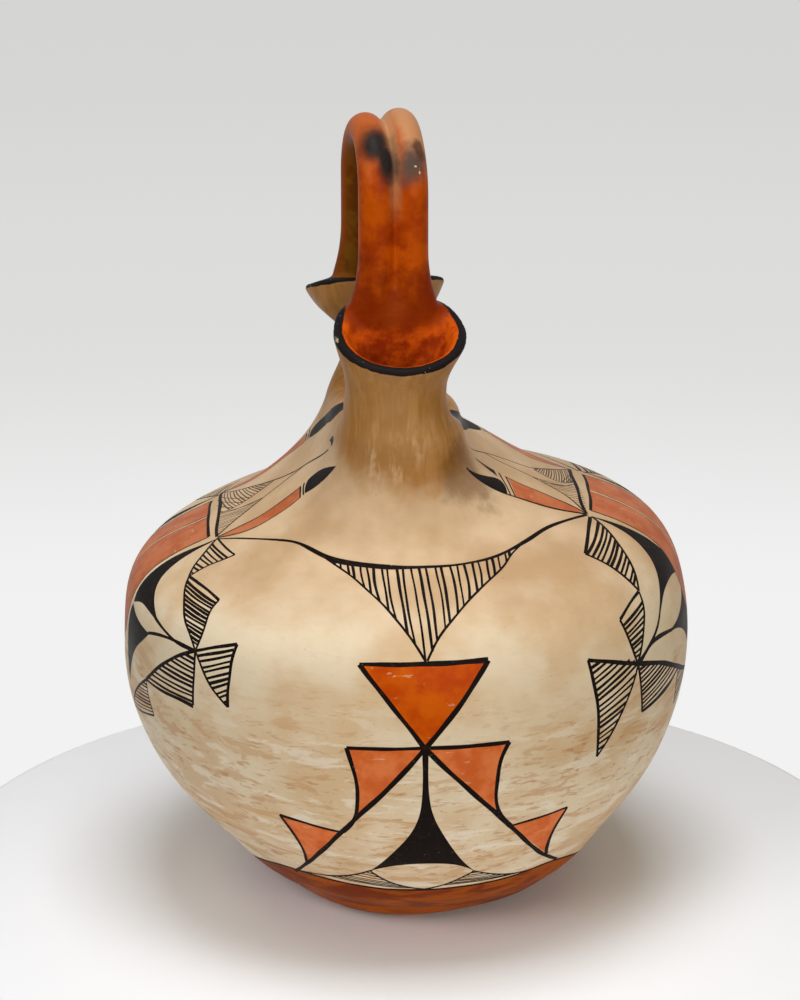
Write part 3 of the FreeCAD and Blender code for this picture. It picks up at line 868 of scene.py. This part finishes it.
# a side panel hangs from its strip as a long tongue, split down the middle
def paintPanel(axis, level, half, foot):
    edges = []
    for way in (-1, 1):
        edges.append([(axis + way * half * a, level - (level - foot) * z) for a, z in (
            (1.0, 0.0), (0.90, 0.10), (0.82, 0.22), (0.78, 0.40), (0.70, 0.62), (0.45, 0.86), (0.0, 1.0))])
    top = [(axis - half, level), (axis, level + 0.9), (axis + half, level)]
    fill("terracotta", top, edges[1], edges[0][::-1])
    split = [(axis, level + 0.9), (axis - half * 0.12, level - 12.0), (axis - half * 0.1, level - 24.0),
             (axis, foot + 9.0)]
    stroke(split, (2.6, 2.2, 1.6), "brown")
    stroke(split, (1.5, 1.1, 0.7), "cream")
    for line in edges:
        stroke(line, (1.0, 0.8, 0.7), "brown")
    stroke(top, 1.3, "black")


def mirrorBack(first):
    for shape in patches[first:]:
        outline = shape["outline"].copy()
        outline[:, 0] = 2 * math.radians(patternTurn) - outline[:, 0]
        patches.append({"outline": outline, "colour": shape["colour"]})


def baseLevel(degrees):
    fold = np.abs((degrees + 90) % 180 - 90)
    return 26.6 + 2.4 * np.clip(fold / 36, 0, 1) ** 2 - 9.0 * ease(fold, 38.0, 72.0)


round360 = np.linspace(-180, 180, 361)[:-1]
baseLine = onMap(np.stack([round360, baseLevel(round360)], axis=1))
patches.append({"outline": baseLine, "colour": paintColour["underside"]})
quarter = len(patches)
paintFront()
paintLeft()
paintRight()
mirrorBack(quarter)
paintPanel(-90.0, 163.9, 15.6, 112.0)
paintPanel(90.0, 162.7, 15.6, 110.0)
paintShoulder()
for k in range(8):
    span = np.linspace(-180 + 45 * k, -135 + 45 * k, 9)
    stroke([(a, float(baseLevel(a))) for a in span], 1.5)
print("painted patches", len(patches))

walls = []
for line, loop, gap, field, shapes in (
        (outerLine, loops[0], 3.0, outerGap, patches), (innerLine, loops[1], 6.0, innerGap, [])):
    wall = wallMesh(line, upperPoints[loop], gap, [shape["outline"] for shape in shapes])
    walls.append((loop, field) + wall)
    print("wall", len(wall[0]), "points", len(wall[1]), "triangles")

allPoints, allFaces, allPaint = [upperPoints], [upperFaces], [np.full(len(upperFaces), -1)]
count = len(upperPoints)
for loop, field, points, triangles, paint, rimIndex in walls:
    fresh = rimIndex < 0
    index = np.empty(len(points), int)
    index[fresh] = count + np.arange(fresh.sum())
    index[~fresh] = loop[rimIndex[~fresh]]
    count += fresh.sum()
    settled = settle(field, points[fresh], 8)
    allPoints.append(settled)
    merged = np.concatenate([upperPoints] + allPoints[1:])
    corners = merged[index[triangles]]
    facing = np.cross(corners[:, 1] - corners[:, 0], corners[:, 2] - corners[:, 0])
    if (facing * gradient(vaseGap, corners.mean(axis=1))).sum() < 0:
        triangles = triangles[:, ::-1]
    allFaces.append(index[triangles])
    allPaint.append(paint)
points = np.concatenate(allPoints)
faces = np.concatenate(allFaces)
paint = np.concatenate(allPaint)
normals = gradient(vaseGap, points)
normals /= np.linalg.norm(normals, axis=1)[:, None]

mesh = bpy.data.meshes.new("weddingVase")
mesh.from_pydata(points * metre, [], faces)
mesh.shade_smooth()
mesh.normals_split_custom_set_from_vertices(normals)
vase = bpy.data.objects.new("weddingVase", mesh)
bpy.context.collection.objects.link(vase)
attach(vase, "root")
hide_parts("wedding_vase")
print("vase mesh", len(points), "points", len(faces), "triangles")

colourOf = np.array([shape["colour"] for shape in patches] + [0])
kind = np.where(paint >= 0, colourOf[paint], 0)
# one channel for each pigment: dark, orange, terracotta, and alpha for the underside
pigments = np.array([(0, 0, 0, 0), (1, 0, 0, 0), (0, 1, 0, 0), (0, 0, 1, 0), (0.9, 0, 0, 0), (0, 0, 0, 1)],
                    np.float32)
tone = mesh.attributes.new("paint", "FLOAT_COLOR", "CORNER")
tone.data.foreach_set("color", np.repeat(pigments[kind], 3, axis=0).ravel())


def pointValue(name, values):
    layer = mesh.attributes.new(name, "FLOAT", "POINT")
    layer.data.foreach_set("value", values.astype(np.float32))


# distance in millimetres into an outline on the map, negative outside it
def depthInside(places, outline):
    turn = 2 * math.pi * np.round((places[:, 0] - outline[:, 0].mean()) / (2 * math.pi))
    places = places - np.stack([turn, 0 * turn], axis=1)
    gap, inside = np.full(len(places), 10.0), np.zeros(len(places), bool)
    for start, end in zip(outline, np.roll(outline, -1, axis=0)):
        leg = end - start
        share = np.clip(((places - start) @ leg) / max(leg @ leg, 1e-12), 0, 1)
        gap = np.minimum(gap, np.hypot(*(places - start - share[:, None] * leg).T))
        crosses = (start[1] > places[:, 1]) != (end[1] > places[:, 1])
        where = start[0] + leg[0] * (places[:, 1] - start[1]) / (leg[1] if leg[1] else 1e-9)
        inside ^= crosses & (places[:, 0] < where)
    return np.where(inside, gap, -gap) * radiusAtDepth(places[:, 1])


skin, rolls, above = skinGap(points), handleGap(points), mouthPlane(points)
onHandle = (1 - ease(rolls, 1.0, 4.0)) * (1 - ease(-above, -0.5, 1.5) * (1 - ease(-skin, 0.3, 1.6)))
within = ease(-skin, 1.6, 4.0) * (1 - onHandle * ease(above, -6.0, 0.0))
# black marks that run on above the painted wall
mark = np.full(len(points), -5.0)
upperOnes = np.where((np.abs(skin) < 1.2) & (np.abs(points[:, 2] - cutHeight - 3) < 14))[0]
angle, level = sectionAngle(points[upperOnes])
places = np.stack([angle, depthAt(outerLine, level)], axis=1)
cutDepth = depthAt(outerLine, cutHeight)
for shape in patches:
    if shape["colour"] == paintColour["black"] and shape["outline"][:, 1].min() < cutDepth:
        mark[upperOnes] = np.maximum(mark[upperOnes], depthInside(places, shape["outline"]))
pointValue("mark", mark)
pointValue("redSlip", np.maximum(onHandle, ease(-skin, 1.2, 2.6) * ease(points[:, 2], 196.0, 222.0)))
pointValue("within", within)
# black band over each lip, deeper outside than inside, that stops at the handle
h = handleForm
lipDepth = h["bandOutside"] + (h["bandInside"] - h["bandOutside"]) * ease(-skin, 1.0, 4.5)
lipBand = np.minimum(np.minimum(above + lipDepth, rolls - 0.9), skin + h["bandWidth"])
pointValue("rimBand", np.clip(lipBand, -6.0, 6.0))
spring = h["top"] - h["rollRadius"] - h["span"] / 2
bend = np.where(points[:, 2] > spring, np.hypot(points[:, 1], points[:, 2] - spring), np.abs(points[:, 1]))
pointValue("underArch", onHandle * ease(h["span"] / 2 - bend, 0.5, 5.5) * ease(points[:, 2], 240.0, 262.0))
print("attributes set")


# a shader value that can be added, taken away and multiplied
class Wire:
    def __init__(self, recipe, socket):
        self.recipe, self.socket = recipe, socket

    def maths(self, operation, first, second):
        return self.recipe.make("ShaderNodeMath", {"operation": operation}, {0: first, 1: second})

    def __add__(self, other):
        return self.maths("ADD", self, other)

    def __sub__(self, other):
        return self.maths("SUBTRACT", self, other)

    def __rsub__(self, other):
        return self.maths("SUBTRACT", other, self)

    def __mul__(self, other):
        return self.maths("MULTIPLY", self, other)

    def most(self, other):
        return self.maths("MAXIMUM", self, other)

    __radd__, __rmul__ = __add__, __mul__


class Recipe:
    def __init__(self, owner):
        owner.use_nodes = True
        self.nodes, self.links = owner.node_tree.nodes, owner.node_tree.links

    # type, then settings, then sockets by name or number; gives back one output
    def make(self, kind, settings, sockets, output=0):
        node = self.nodes.new(kind)
        for name, value in settings.items():
            setattr(node, name, value)
        for name, value in sockets.items():
            self.feed(node.inputs[name], value)
        return Wire(self, node.outputs[output])

    def feed(self, socket, value):
        if isinstance(value, Wire):
            self.links.new(value.socket, socket)
        else:
            socket.default_value = value


# a colour as seen on a screen, 0 to 255, as linear light
def tint(red, green, blue):
    return tuple(((v / 255 + 0.055) / 1.055) ** 2.4 for v in (red, green, blue)) + (1.0,)


# colours as seen on a screen, 0 to 255
slipTone = {
    "pale": (230, 213, 184), "warm": (218, 190, 152), "dome": (212, 180, 141), "domeDeep": (182, 145, 106),
    "smear": (203, 158, 112), "fleck": (186, 128, 82), "worn": (240, 231, 215), "speck": (120, 82, 50),
    "neck": (184, 131, 66), "neckDeep": (162, 109, 42), "streak": (222, 198, 160), "neckShade": (100, 60, 20),
    "bandBrown": (150, 98, 36),
}
redTone = {
    "plain": (194, 82, 0), "deep": (164, 58, 0), "top": (178, 92, 44), "pale": (188, 140, 98),
    "root": (112, 32, 0), "olive": (122, 78, 16), "oliveDeep": (92, 52, 6), "fire": (40, 34, 32),
    "ash": (88, 70, 60), "chip": (226, 208, 170), "mouth": (206, 86, 10), "mouthDeep": (144, 44, 0),
    "inside": (122, 70, 36),
}
paintTone = {
    "black": (19, 11, 8), "brown": (52, 31, 18), "rim": (26, 21, 20),
    "orange": (208, 92, 4), "orangeDeep": (188, 66, 0), "red": (226, 126, 72), "redDeep": (210, 100, 44),
    "terracotta": (194, 114, 74), "terracottaDeep": (178, 92, 52), "foot": (166, 80, 0),
    "footDeep": (120, 46, 0),
}

clayMaterial = bpy.data.materials.new("firedClay")
mesh.materials.append(clayMaterial)
recipe = Recipe(clayMaterial)
shader = recipe.nodes["Principled BSDF"]
spot = recipe.make("ShaderNodeTexCoord", {}, {}, "Object")
spot = recipe.make("ShaderNodeVectorMath", {"operation": "SCALE"}, {0: spot, "Scale": 1000.0})
placeX, placeY, placeZ = [recipe.make("ShaderNodeSeparateXYZ", {}, {0: spot}, k) for k in range(3)]


# noise 0 to 1, its grain in millimetres along x, y and z
def grain(size, detail=2.0, shift=0.0, rough=0.5, twist=0.0):
    size = (size, size, size) if np.isscalar(size) else size
    moved = recipe.make("ShaderNodeMapping", {}, {
        "Vector": spot, "Location": (shift, 2.3 * shift, -1.7 * shift),
        "Scale": tuple(1 / s for s in size)})
    return recipe.make("ShaderNodeTexNoise", {}, {
        "Vector": moved, "Scale": 1.0, "Detail": detail, "Roughness": rough, "Distortion": twist})


def smooth(value, low, high):
    return recipe.make("ShaderNodeMapRange", {"interpolation_type": "SMOOTHSTEP"}, {
        "Value": value, "From Min": low, "From Max": high})


def blend(factor, first, second):
    return recipe.make("ShaderNodeMix", {"data_type": "RGBA", "clamp_factor": True},
                       {0: factor, 6: first, 7: second}, 2)


def reader(name, output="Fac"):
    return recipe.make("ShaderNodeAttribute", {"attribute_name": name}, {}, output)


# 1 in the middle of a ragged ellipsoid, 0 outside it
def cloud(centre, size, ragged, edge, soft=0.7):
    moved = recipe.make("ShaderNodeMapping", {}, {
        "Vector": spot, "Location": tuple(-c / s for c, s in zip(centre, size)),
        "Scale": tuple(1 / s for s in size)})
    reach = recipe.make("ShaderNodeVectorMath", {"operation": "LENGTH"}, {0: moved}, "Value")
    return smooth(reach + (edge - 0.5) * ragged, 1.2, 1.2 - soft)


coarse = grain(34.0, 3.0, 7.0)
medium = grain(11.0, 3.0, 41.0, 0.6)
fine = grain(3.4, 3.0, 61.0, 0.6)
tiny = grain(1.1, 2.0, 91.0)
smears = grain((24.0, 24.0, 6.0), 4.0, 3.0, 0.62, 0.5)
flecks = grain((7.5, 7.5, 1.9), 3.0, 11.0, 0.6, 0.3)
streaks = grain((3.8, 3.8, 26.0), 3.0, 13.0, 0.6, 0.4)

# cream slip: warm and pale blotches, tan smears round the lower half, small flecks
lower = smooth(placeZ + (coarse - 0.5) * 90, 132.0, 84.0)
slip = blend(smooth(coarse, 0.38, 0.62), tint(*slipTone["warm"]), tint(*slipTone["pale"]))
# painted shade: the right side of the dome turns to the deep tone
shadeOnRight = smooth(placeX, -5.0, 45.0) * 0.12
domeMottle = smooth(coarse + (medium - 0.5) * 0.2 - shadeOnRight, 0.28, 0.70)
domeTone = blend(domeMottle, tint(*slipTone["domeDeep"]), tint(*slipTone["dome"]))
slip = blend(smooth(placeZ + (medium - 0.5) * 20, 134.0, 164.0) * 0.8, slip, domeTone)
slip = blend(smooth(smears, 0.54, 0.62) * (lower * 0.55 + 0.08), slip, tint(*slipTone["smear"]))
slip = blend(smooth(flecks, 0.58, 0.64) * (lower * 0.44 + 0.06), slip, tint(*slipTone["fleck"]))
slip = blend(smooth(smears, 0.46, 0.38) * lower * 0.6, slip, tint(*slipTone["worn"]))
slip = blend(smooth(tiny, 0.74, 0.78) * 0.5, slip, tint(*slipTone["speck"]))
# tan burnish of the neck and spouts, with faint upright streaks and a few pale drips in front
sideways = recipe.make("ShaderNodeMath", {"operation": "ABSOLUTE"}, {0: placeY})
neckTan = smooth(placeZ + (sideways - 30) * 0.3 + (medium - 0.5) * 22, 189.0, 206.0)
tan = blend(smooth(streaks, 0.30, 0.72), tint(*slipTone["neckDeep"]), tint(*slipTone["neck"]))
tan = blend(smooth(coarse, 0.42, 0.66) * 0.4, tan, tint(*slipTone["domeDeep"]))
drips = cloud((-16.0, -58.0, 206.0), (15.0, 14.0, 15.0), 1.0, medium).most(0.10)
# a darker brown band round the front of the neck's foot
tan = blend(cloud((-8.0, -54.0, 199.0), (34.0, 24.0, 10.0), 1.2, medium) * 0.6, tan,
            tint(*slipTone["bandBrown"]))
tan = blend(smooth(streaks + (fine - 0.5) * 0.2, 0.46, 0.72) * drips * 0.5, tan, tint(*slipTone["streak"]))
slip = blend(neckTan * 0.92, slip, tan)
# painted shade in the hollow to the right of the front neck's foot
slip = blend(cloud((18.0, -50.0, 193.0), (15.0, 15.0, 18.0), 1.4, medium) * 0.6, slip,
             tint(*slipTone["neckShade"]))

# red slip of the handle and inside the mouths, with painted highlight on the arch's top and groove and
# painted shade towards the roots
red = blend(smooth(medium, 0.34, 0.66), tint(*redTone["deep"]), tint(*redTone["plain"]))
# painted highlight: the top of the arch turns to a paler tone
red = blend(smooth(placeZ + (medium - 0.5) * 30, 300.0, 326.0) * 0.8, red, tint(*redTone["top"]))
paleTop = smooth(placeX + (placeZ - 318) * 0.35 + (medium - 0.5) * 12, -7.0, 1.0) * smooth(placeZ, 302.0,
        324.0)
# painted highlight: a pale line down the groove between the rolls
groove = recipe.make("ShaderNodeMath", {"operation": "ABSOLUTE"},
                     {0: placeX - (middle + handleForm["shift"])})
grooveHighlight = smooth(groove, 3.6, 1.0) * smooth(placeZ + (medium - 0.5) * 20, 284.0, 318.0)
# pale worn slip on the top of the right roll, with the painted highlight of the groove
paleTop = (paleTop * 0.75).most(grooveHighlight * 0.8)
red = blend(paleTop, red, tint(*redTone["pale"]))
# painted shade: darker towards the roots of the rolls, where they run down into the mouths
red = blend(smooth(placeZ + (medium - 0.5) * 50, 284.0, 258.0) * 0.7, red, tint(*redTone["root"]))
olive = blend(smooth(medium, 0.4, 0.6), tint(*redTone["olive"]), tint(*redTone["oliveDeep"]))
rearLeg = smooth(placeY, 6.0, 22.0) * smooth(placeZ, 330.0, 300.0) * 0.6
red = blend((reader("underArch") * 0.9).most(rearLeg), red, olive)
ash = cloud((-2.2, -25.0, 313.0), (6.6, 8.0, 12.0), 1.1, medium, 1.0)
red = blend(ash, red, tint(*redTone["ash"]))
fire = cloud((-15.0, -20.0, 321.0), (8.5, 12.0, 11.5), 0.6, medium, 0.9)
fire = fire.most(cloud((-11.8, -23.0, 314.0), (5.6, 10.0, 15.0), 0.6, medium, 0.9))
fire = fire.most(cloud((1.4, -22.0, 318.0), (2.6, 4.0, 6.0), 1.2, medium) * 0.7)
red = blend(fire, red, tint(*redTone["fire"]))
chips = cloud((-0.6, -27.5, 312.2), (0.8, 1.2, 0.5), 1.6, tiny)
chips = chips.most(cloud((0.8, -26.5, 309.6), (0.5, 1.0, 1.4), 1.6, tiny))
red = blend(chips, red, tint(*redTone["chip"]))
mouthMottle = smooth(medium + (fine - 0.5) * 0.3, 0.36, 0.62)
mouthClay = blend(mouthMottle, tint(*redTone["mouthDeep"]), tint(*redTone["mouth"]))
red = blend(reader("within"), red, mouthClay)
surface = blend(reader("redSlip"), slip, red)
surface = blend(reader("within") * (1 - reader("redSlip")), surface, tint(*redTone["inside"]))

# mineral paint over the slip, thinner and browner where the brush ran dry
coat = recipe.make("ShaderNodeAttribute", {"attribute_name": "paint"}, {}, "Color")
underside = recipe.make("ShaderNodeAttribute", {"attribute_name": "paint"}, {}, "Alpha")
dark, orange, terracotta = [recipe.make("ShaderNodeSeparateColor", {}, {0: coat}, k) for k in range(3)]
scratch = smooth(flecks, 0.66, 0.70)
# the underside band's own orange, darkened with painted shade under the overhanging belly
base = blend(smooth(smears, 0.40, 0.60), tint(*paintTone["footDeep"]), tint(*paintTone["foot"]))
surface = blend(underside, surface, base)
deepOrange = blend(smooth(medium, 0.34, 0.66), tint(*paintTone["orangeDeep"]), tint(*paintTone["orange"]))
surface = blend(orange * (1 - scratch * 0.5), surface, deepOrange)
outwards = recipe.make("ShaderNodeMath", {"operation": "ABSOLUTE"}, {0: placeX})
frontRed = blend(smooth(medium, 0.36, 0.64), tint(*paintTone["redDeep"]), tint(*paintTone["red"]))
sideRed = blend(smooth(medium, 0.36, 0.64), tint(*paintTone["terracottaDeep"]),
                tint(*paintTone["terracotta"]))
sidePanels = smooth(outwards, 58.0, 72.0).most(smooth(placeZ, 128.0, 142.0))
surface = blend(terracotta * (1 - scratch * 0.45), surface, blend(sidePanels, frontRed, sideRed))
black = dark.most(smooth(reader("mark"), -0.12, 0.12))
ink = blend(smooth(fine, 0.56, 0.72) * 0.55, tint(*paintTone["black"]), tint(*paintTone["brown"]))
surface = blend(black * (1 - smooth(tiny, 0.70, 0.78) * 0.35), surface, ink)
# the band over the lips, with a wavy edge and a few chips
band = smooth(reader("rimBand") + (medium - 0.5) * 2.2, -0.15, 0.15)
rimChips = cloud((-34.6, -38.0, 247.0), (1.4, 2.2, 1.4), 2.4, tiny)
rimChips = rimChips.most(cloud((-27.0, -56.0, 241.0), (1.6, 1.2, 1.0), 2.4, tiny)).most(smooth(tiny, 0.72,
        0.76))
surface = blend(band, surface, blend(rimChips * 0.8, tint(*paintTone["rim"]), tint(*redTone["chip"])))

recipe.feed(shader.inputs["Base Color"], surface)
sheen = 0.42 + (coarse - 0.5) * 0.25 + (smears - 0.5) * 0.2 + dark * 0.06 + reader("within") * 0.25
recipe.feed(shader.inputs["Roughness"], sheen + band * 0.06)
recipe.feed(shader.inputs["Specular IOR Level"], 0.05)
relief = (medium - 0.5) * 0.34 + (flecks - 0.5) * 0.1 + reader("redSlip") * (fine - 0.5) * 0.16
relief = relief + reader("within") * (medium - 0.5) * 1.1 + black * 0.03 + band * 0.1
recipe.feed(shader.inputs["Normal"], recipe.make("ShaderNodeBump", {}, {
    "Strength": 0.8, "Distance": 0.001, "Height": relief}))
print("clay material done")

view = {"elevation": 18.91, "distance": 1.500, "target": 0.1652, "azimuth": -9.5, "focal": 3651.0,
        "pushX": 6.0}
lift, side = math.radians(view["elevation"]), math.radians(-view["azimuth"])
back = Vector((-math.sin(side) * math.cos(lift), -math.cos(side) * math.cos(lift), math.sin(lift)))
cameraData = bpy.data.cameras.new("camera")
cameraData.sensor_fit = "VERTICAL"
cameraData.sensor_height = 24.0
cameraData.lens = view["focal"] / 1000 * cameraData.sensor_height
cameraData.shift_x = -view["pushX"] / 1000
camera = bpy.data.objects.new("camera", cameraData)
camera.location = Vector((0, 0, view["target"])) + back * view["distance"]
camera.rotation_euler = back.to_track_quat("Z", "Y").to_euler()
bpy.context.collection.objects.link(camera)
bpy.context.scene.camera = camera


stage = {
    "tableRadius": 0.2025, "table": (247, 247, 249), "wallRadius": 2.6, "wallHigh": -0.16,
    "wallMiddle": -0.48,
    "wallLow": -0.86, "wallTop": (213, 213, 212), "wallHalf": (221, 221, 220), "wallFoot": (242, 242, 242),
    "lampTint": (0.96, 1.0, 1.05), "fillTint": (1.0, 0.95, 0.86), "roomTint": (1.0, 0.86, 0.66, 1.0),
    "roomLight": 0.20,
}


def stageMesh(name, points, faces):
    data = bpy.data.meshes.new(name)
    data.from_pydata(points, [], faces)
    data.shade_smooth()
    item = bpy.data.objects.new(name, data)
    bpy.context.collection.objects.link(item)
    paint = bpy.data.materials.new(name + "Paint")
    data.materials.append(paint)
    return Recipe(paint)


# round display table with a soft edge, and a pale wall all round that only shows itself to the camera,
# glowing with painted light that is darker at the top
turns = np.linspace(0, 2 * math.pi, 193)[:-1]
edge = stage["tableRadius"]
rings = [(edge - 0.003, 0.0), (edge - 0.0008, -0.0008), (edge, -0.003), (edge, -0.02)]
disc = [(r * math.cos(a), r * math.sin(a), z) for r, z in rings for a in turns]
count = len(turns)
quads = [(k * count + j, (k + 1) * count + j, (k + 1) * count + (j + 1) % count,
          k * count + (j + 1) % count)
         for k in range(len(rings) - 1) for j in range(count)]
recipe = stageMesh("table", disc, [tuple(range(count))] + quads)
recipe.feed(recipe.nodes["Principled BSDF"].inputs["Base Color"], tint(*stage["table"]))
recipe.feed(recipe.nodes["Principled BSDF"].inputs["Roughness"], 0.7)
recipe.feed(recipe.nodes["Principled BSDF"].inputs["Specular IOR Level"], 0.1)
turns = turns[::4]
edge, count = stage["wallRadius"], len(turns)
wallPoints = [(edge * math.cos(a), edge * math.sin(a), z) for z in (-4.0, 4.0) for a in turns]
quads = [(j, count + j, count + (j + 1) % count, (j + 1) % count) for j in range(count)]
recipe = stageMesh("wall", wallPoints, quads)
wallHeight = recipe.make("ShaderNodeSeparateXYZ", {}, {0: recipe.make("ShaderNodeTexCoord", {}, {},
        "Object")}, 2)
# painted light on the wall's glow: darker at the top, paler towards the floor
upperHalf = smooth(wallHeight, stage["wallHigh"], stage["wallMiddle"])
lowerHalf = smooth(wallHeight, stage["wallMiddle"], stage["wallLow"])
pale = blend(upperHalf, tint(*stage["wallTop"]), tint(*stage["wallHalf"]))
pale = blend(lowerHalf, pale, tint(*stage["wallFoot"]))
seen = None
for ray in ("Is Camera Ray", "Is Glossy Ray", "Is Transmission Ray"):
    hit = recipe.make("ShaderNodeLightPath", {}, {}, ray)
    seen = hit if seen is None else seen.most(hit)
glow = recipe.make("ShaderNodeEmission", {}, {"Color": pale})
clear = recipe.make("ShaderNodeBsdfTransparent", {}, {})
shown = recipe.make("ShaderNodeMixShader", {}, {0: seen, 1: clear, 2: glow})
recipe.feed(recipe.nodes["Material Output"].inputs["Surface"], shown)


# soft lamps: where each stands, the height that it faces, its size in metres, watts and tint
lamps = {
    "keyLamp": {"place": (-1.3, -1.1, 1.15), "aim": 0.15, "size": (0.9, 0.9), "power": 12.0,
                "tint": stage["lampTint"]},
    "fillLamp": {"place": (0.4, -1.7, 0.5), "aim": 0.10, "size": (1.4, 0.8), "power": 11.5,
                 "tint": stage["fillTint"]},
    "topLamp": {"place": (0.0, -0.15, 1.7), "aim": 0.15, "size": (0.8, 0.8), "power": 16.5,
                "tint": stage["lampTint"]},
}
for name, lamp in lamps.items():
    data = bpy.data.lights.new(name, "AREA")
    data.shape, data.size, data.size_y = "RECTANGLE", lamp["size"][0], lamp["size"][1]
    data.energy, data.color = lamp["power"], lamp["tint"]
    light = bpy.data.objects.new(name, data)
    light.location = lamp["place"]
    light.rotation_euler = (Vector(lamp["place"]) - Vector((0, 0, lamp["aim"]))).to_track_quat("Z",
            "Y").to_euler()
    bpy.context.collection.objects.link(light)
world = bpy.data.worlds.new("softRoom")
world.use_nodes = True
world.node_tree.nodes["Background"].inputs["Color"].default_value = stage["roomTint"]
world.node_tree.nodes["Background"].inputs["Strength"].default_value = stage["roomLight"]
bpy.context.scene.world = world
bpy.context.scene.view_settings.view_transform = "Standard"
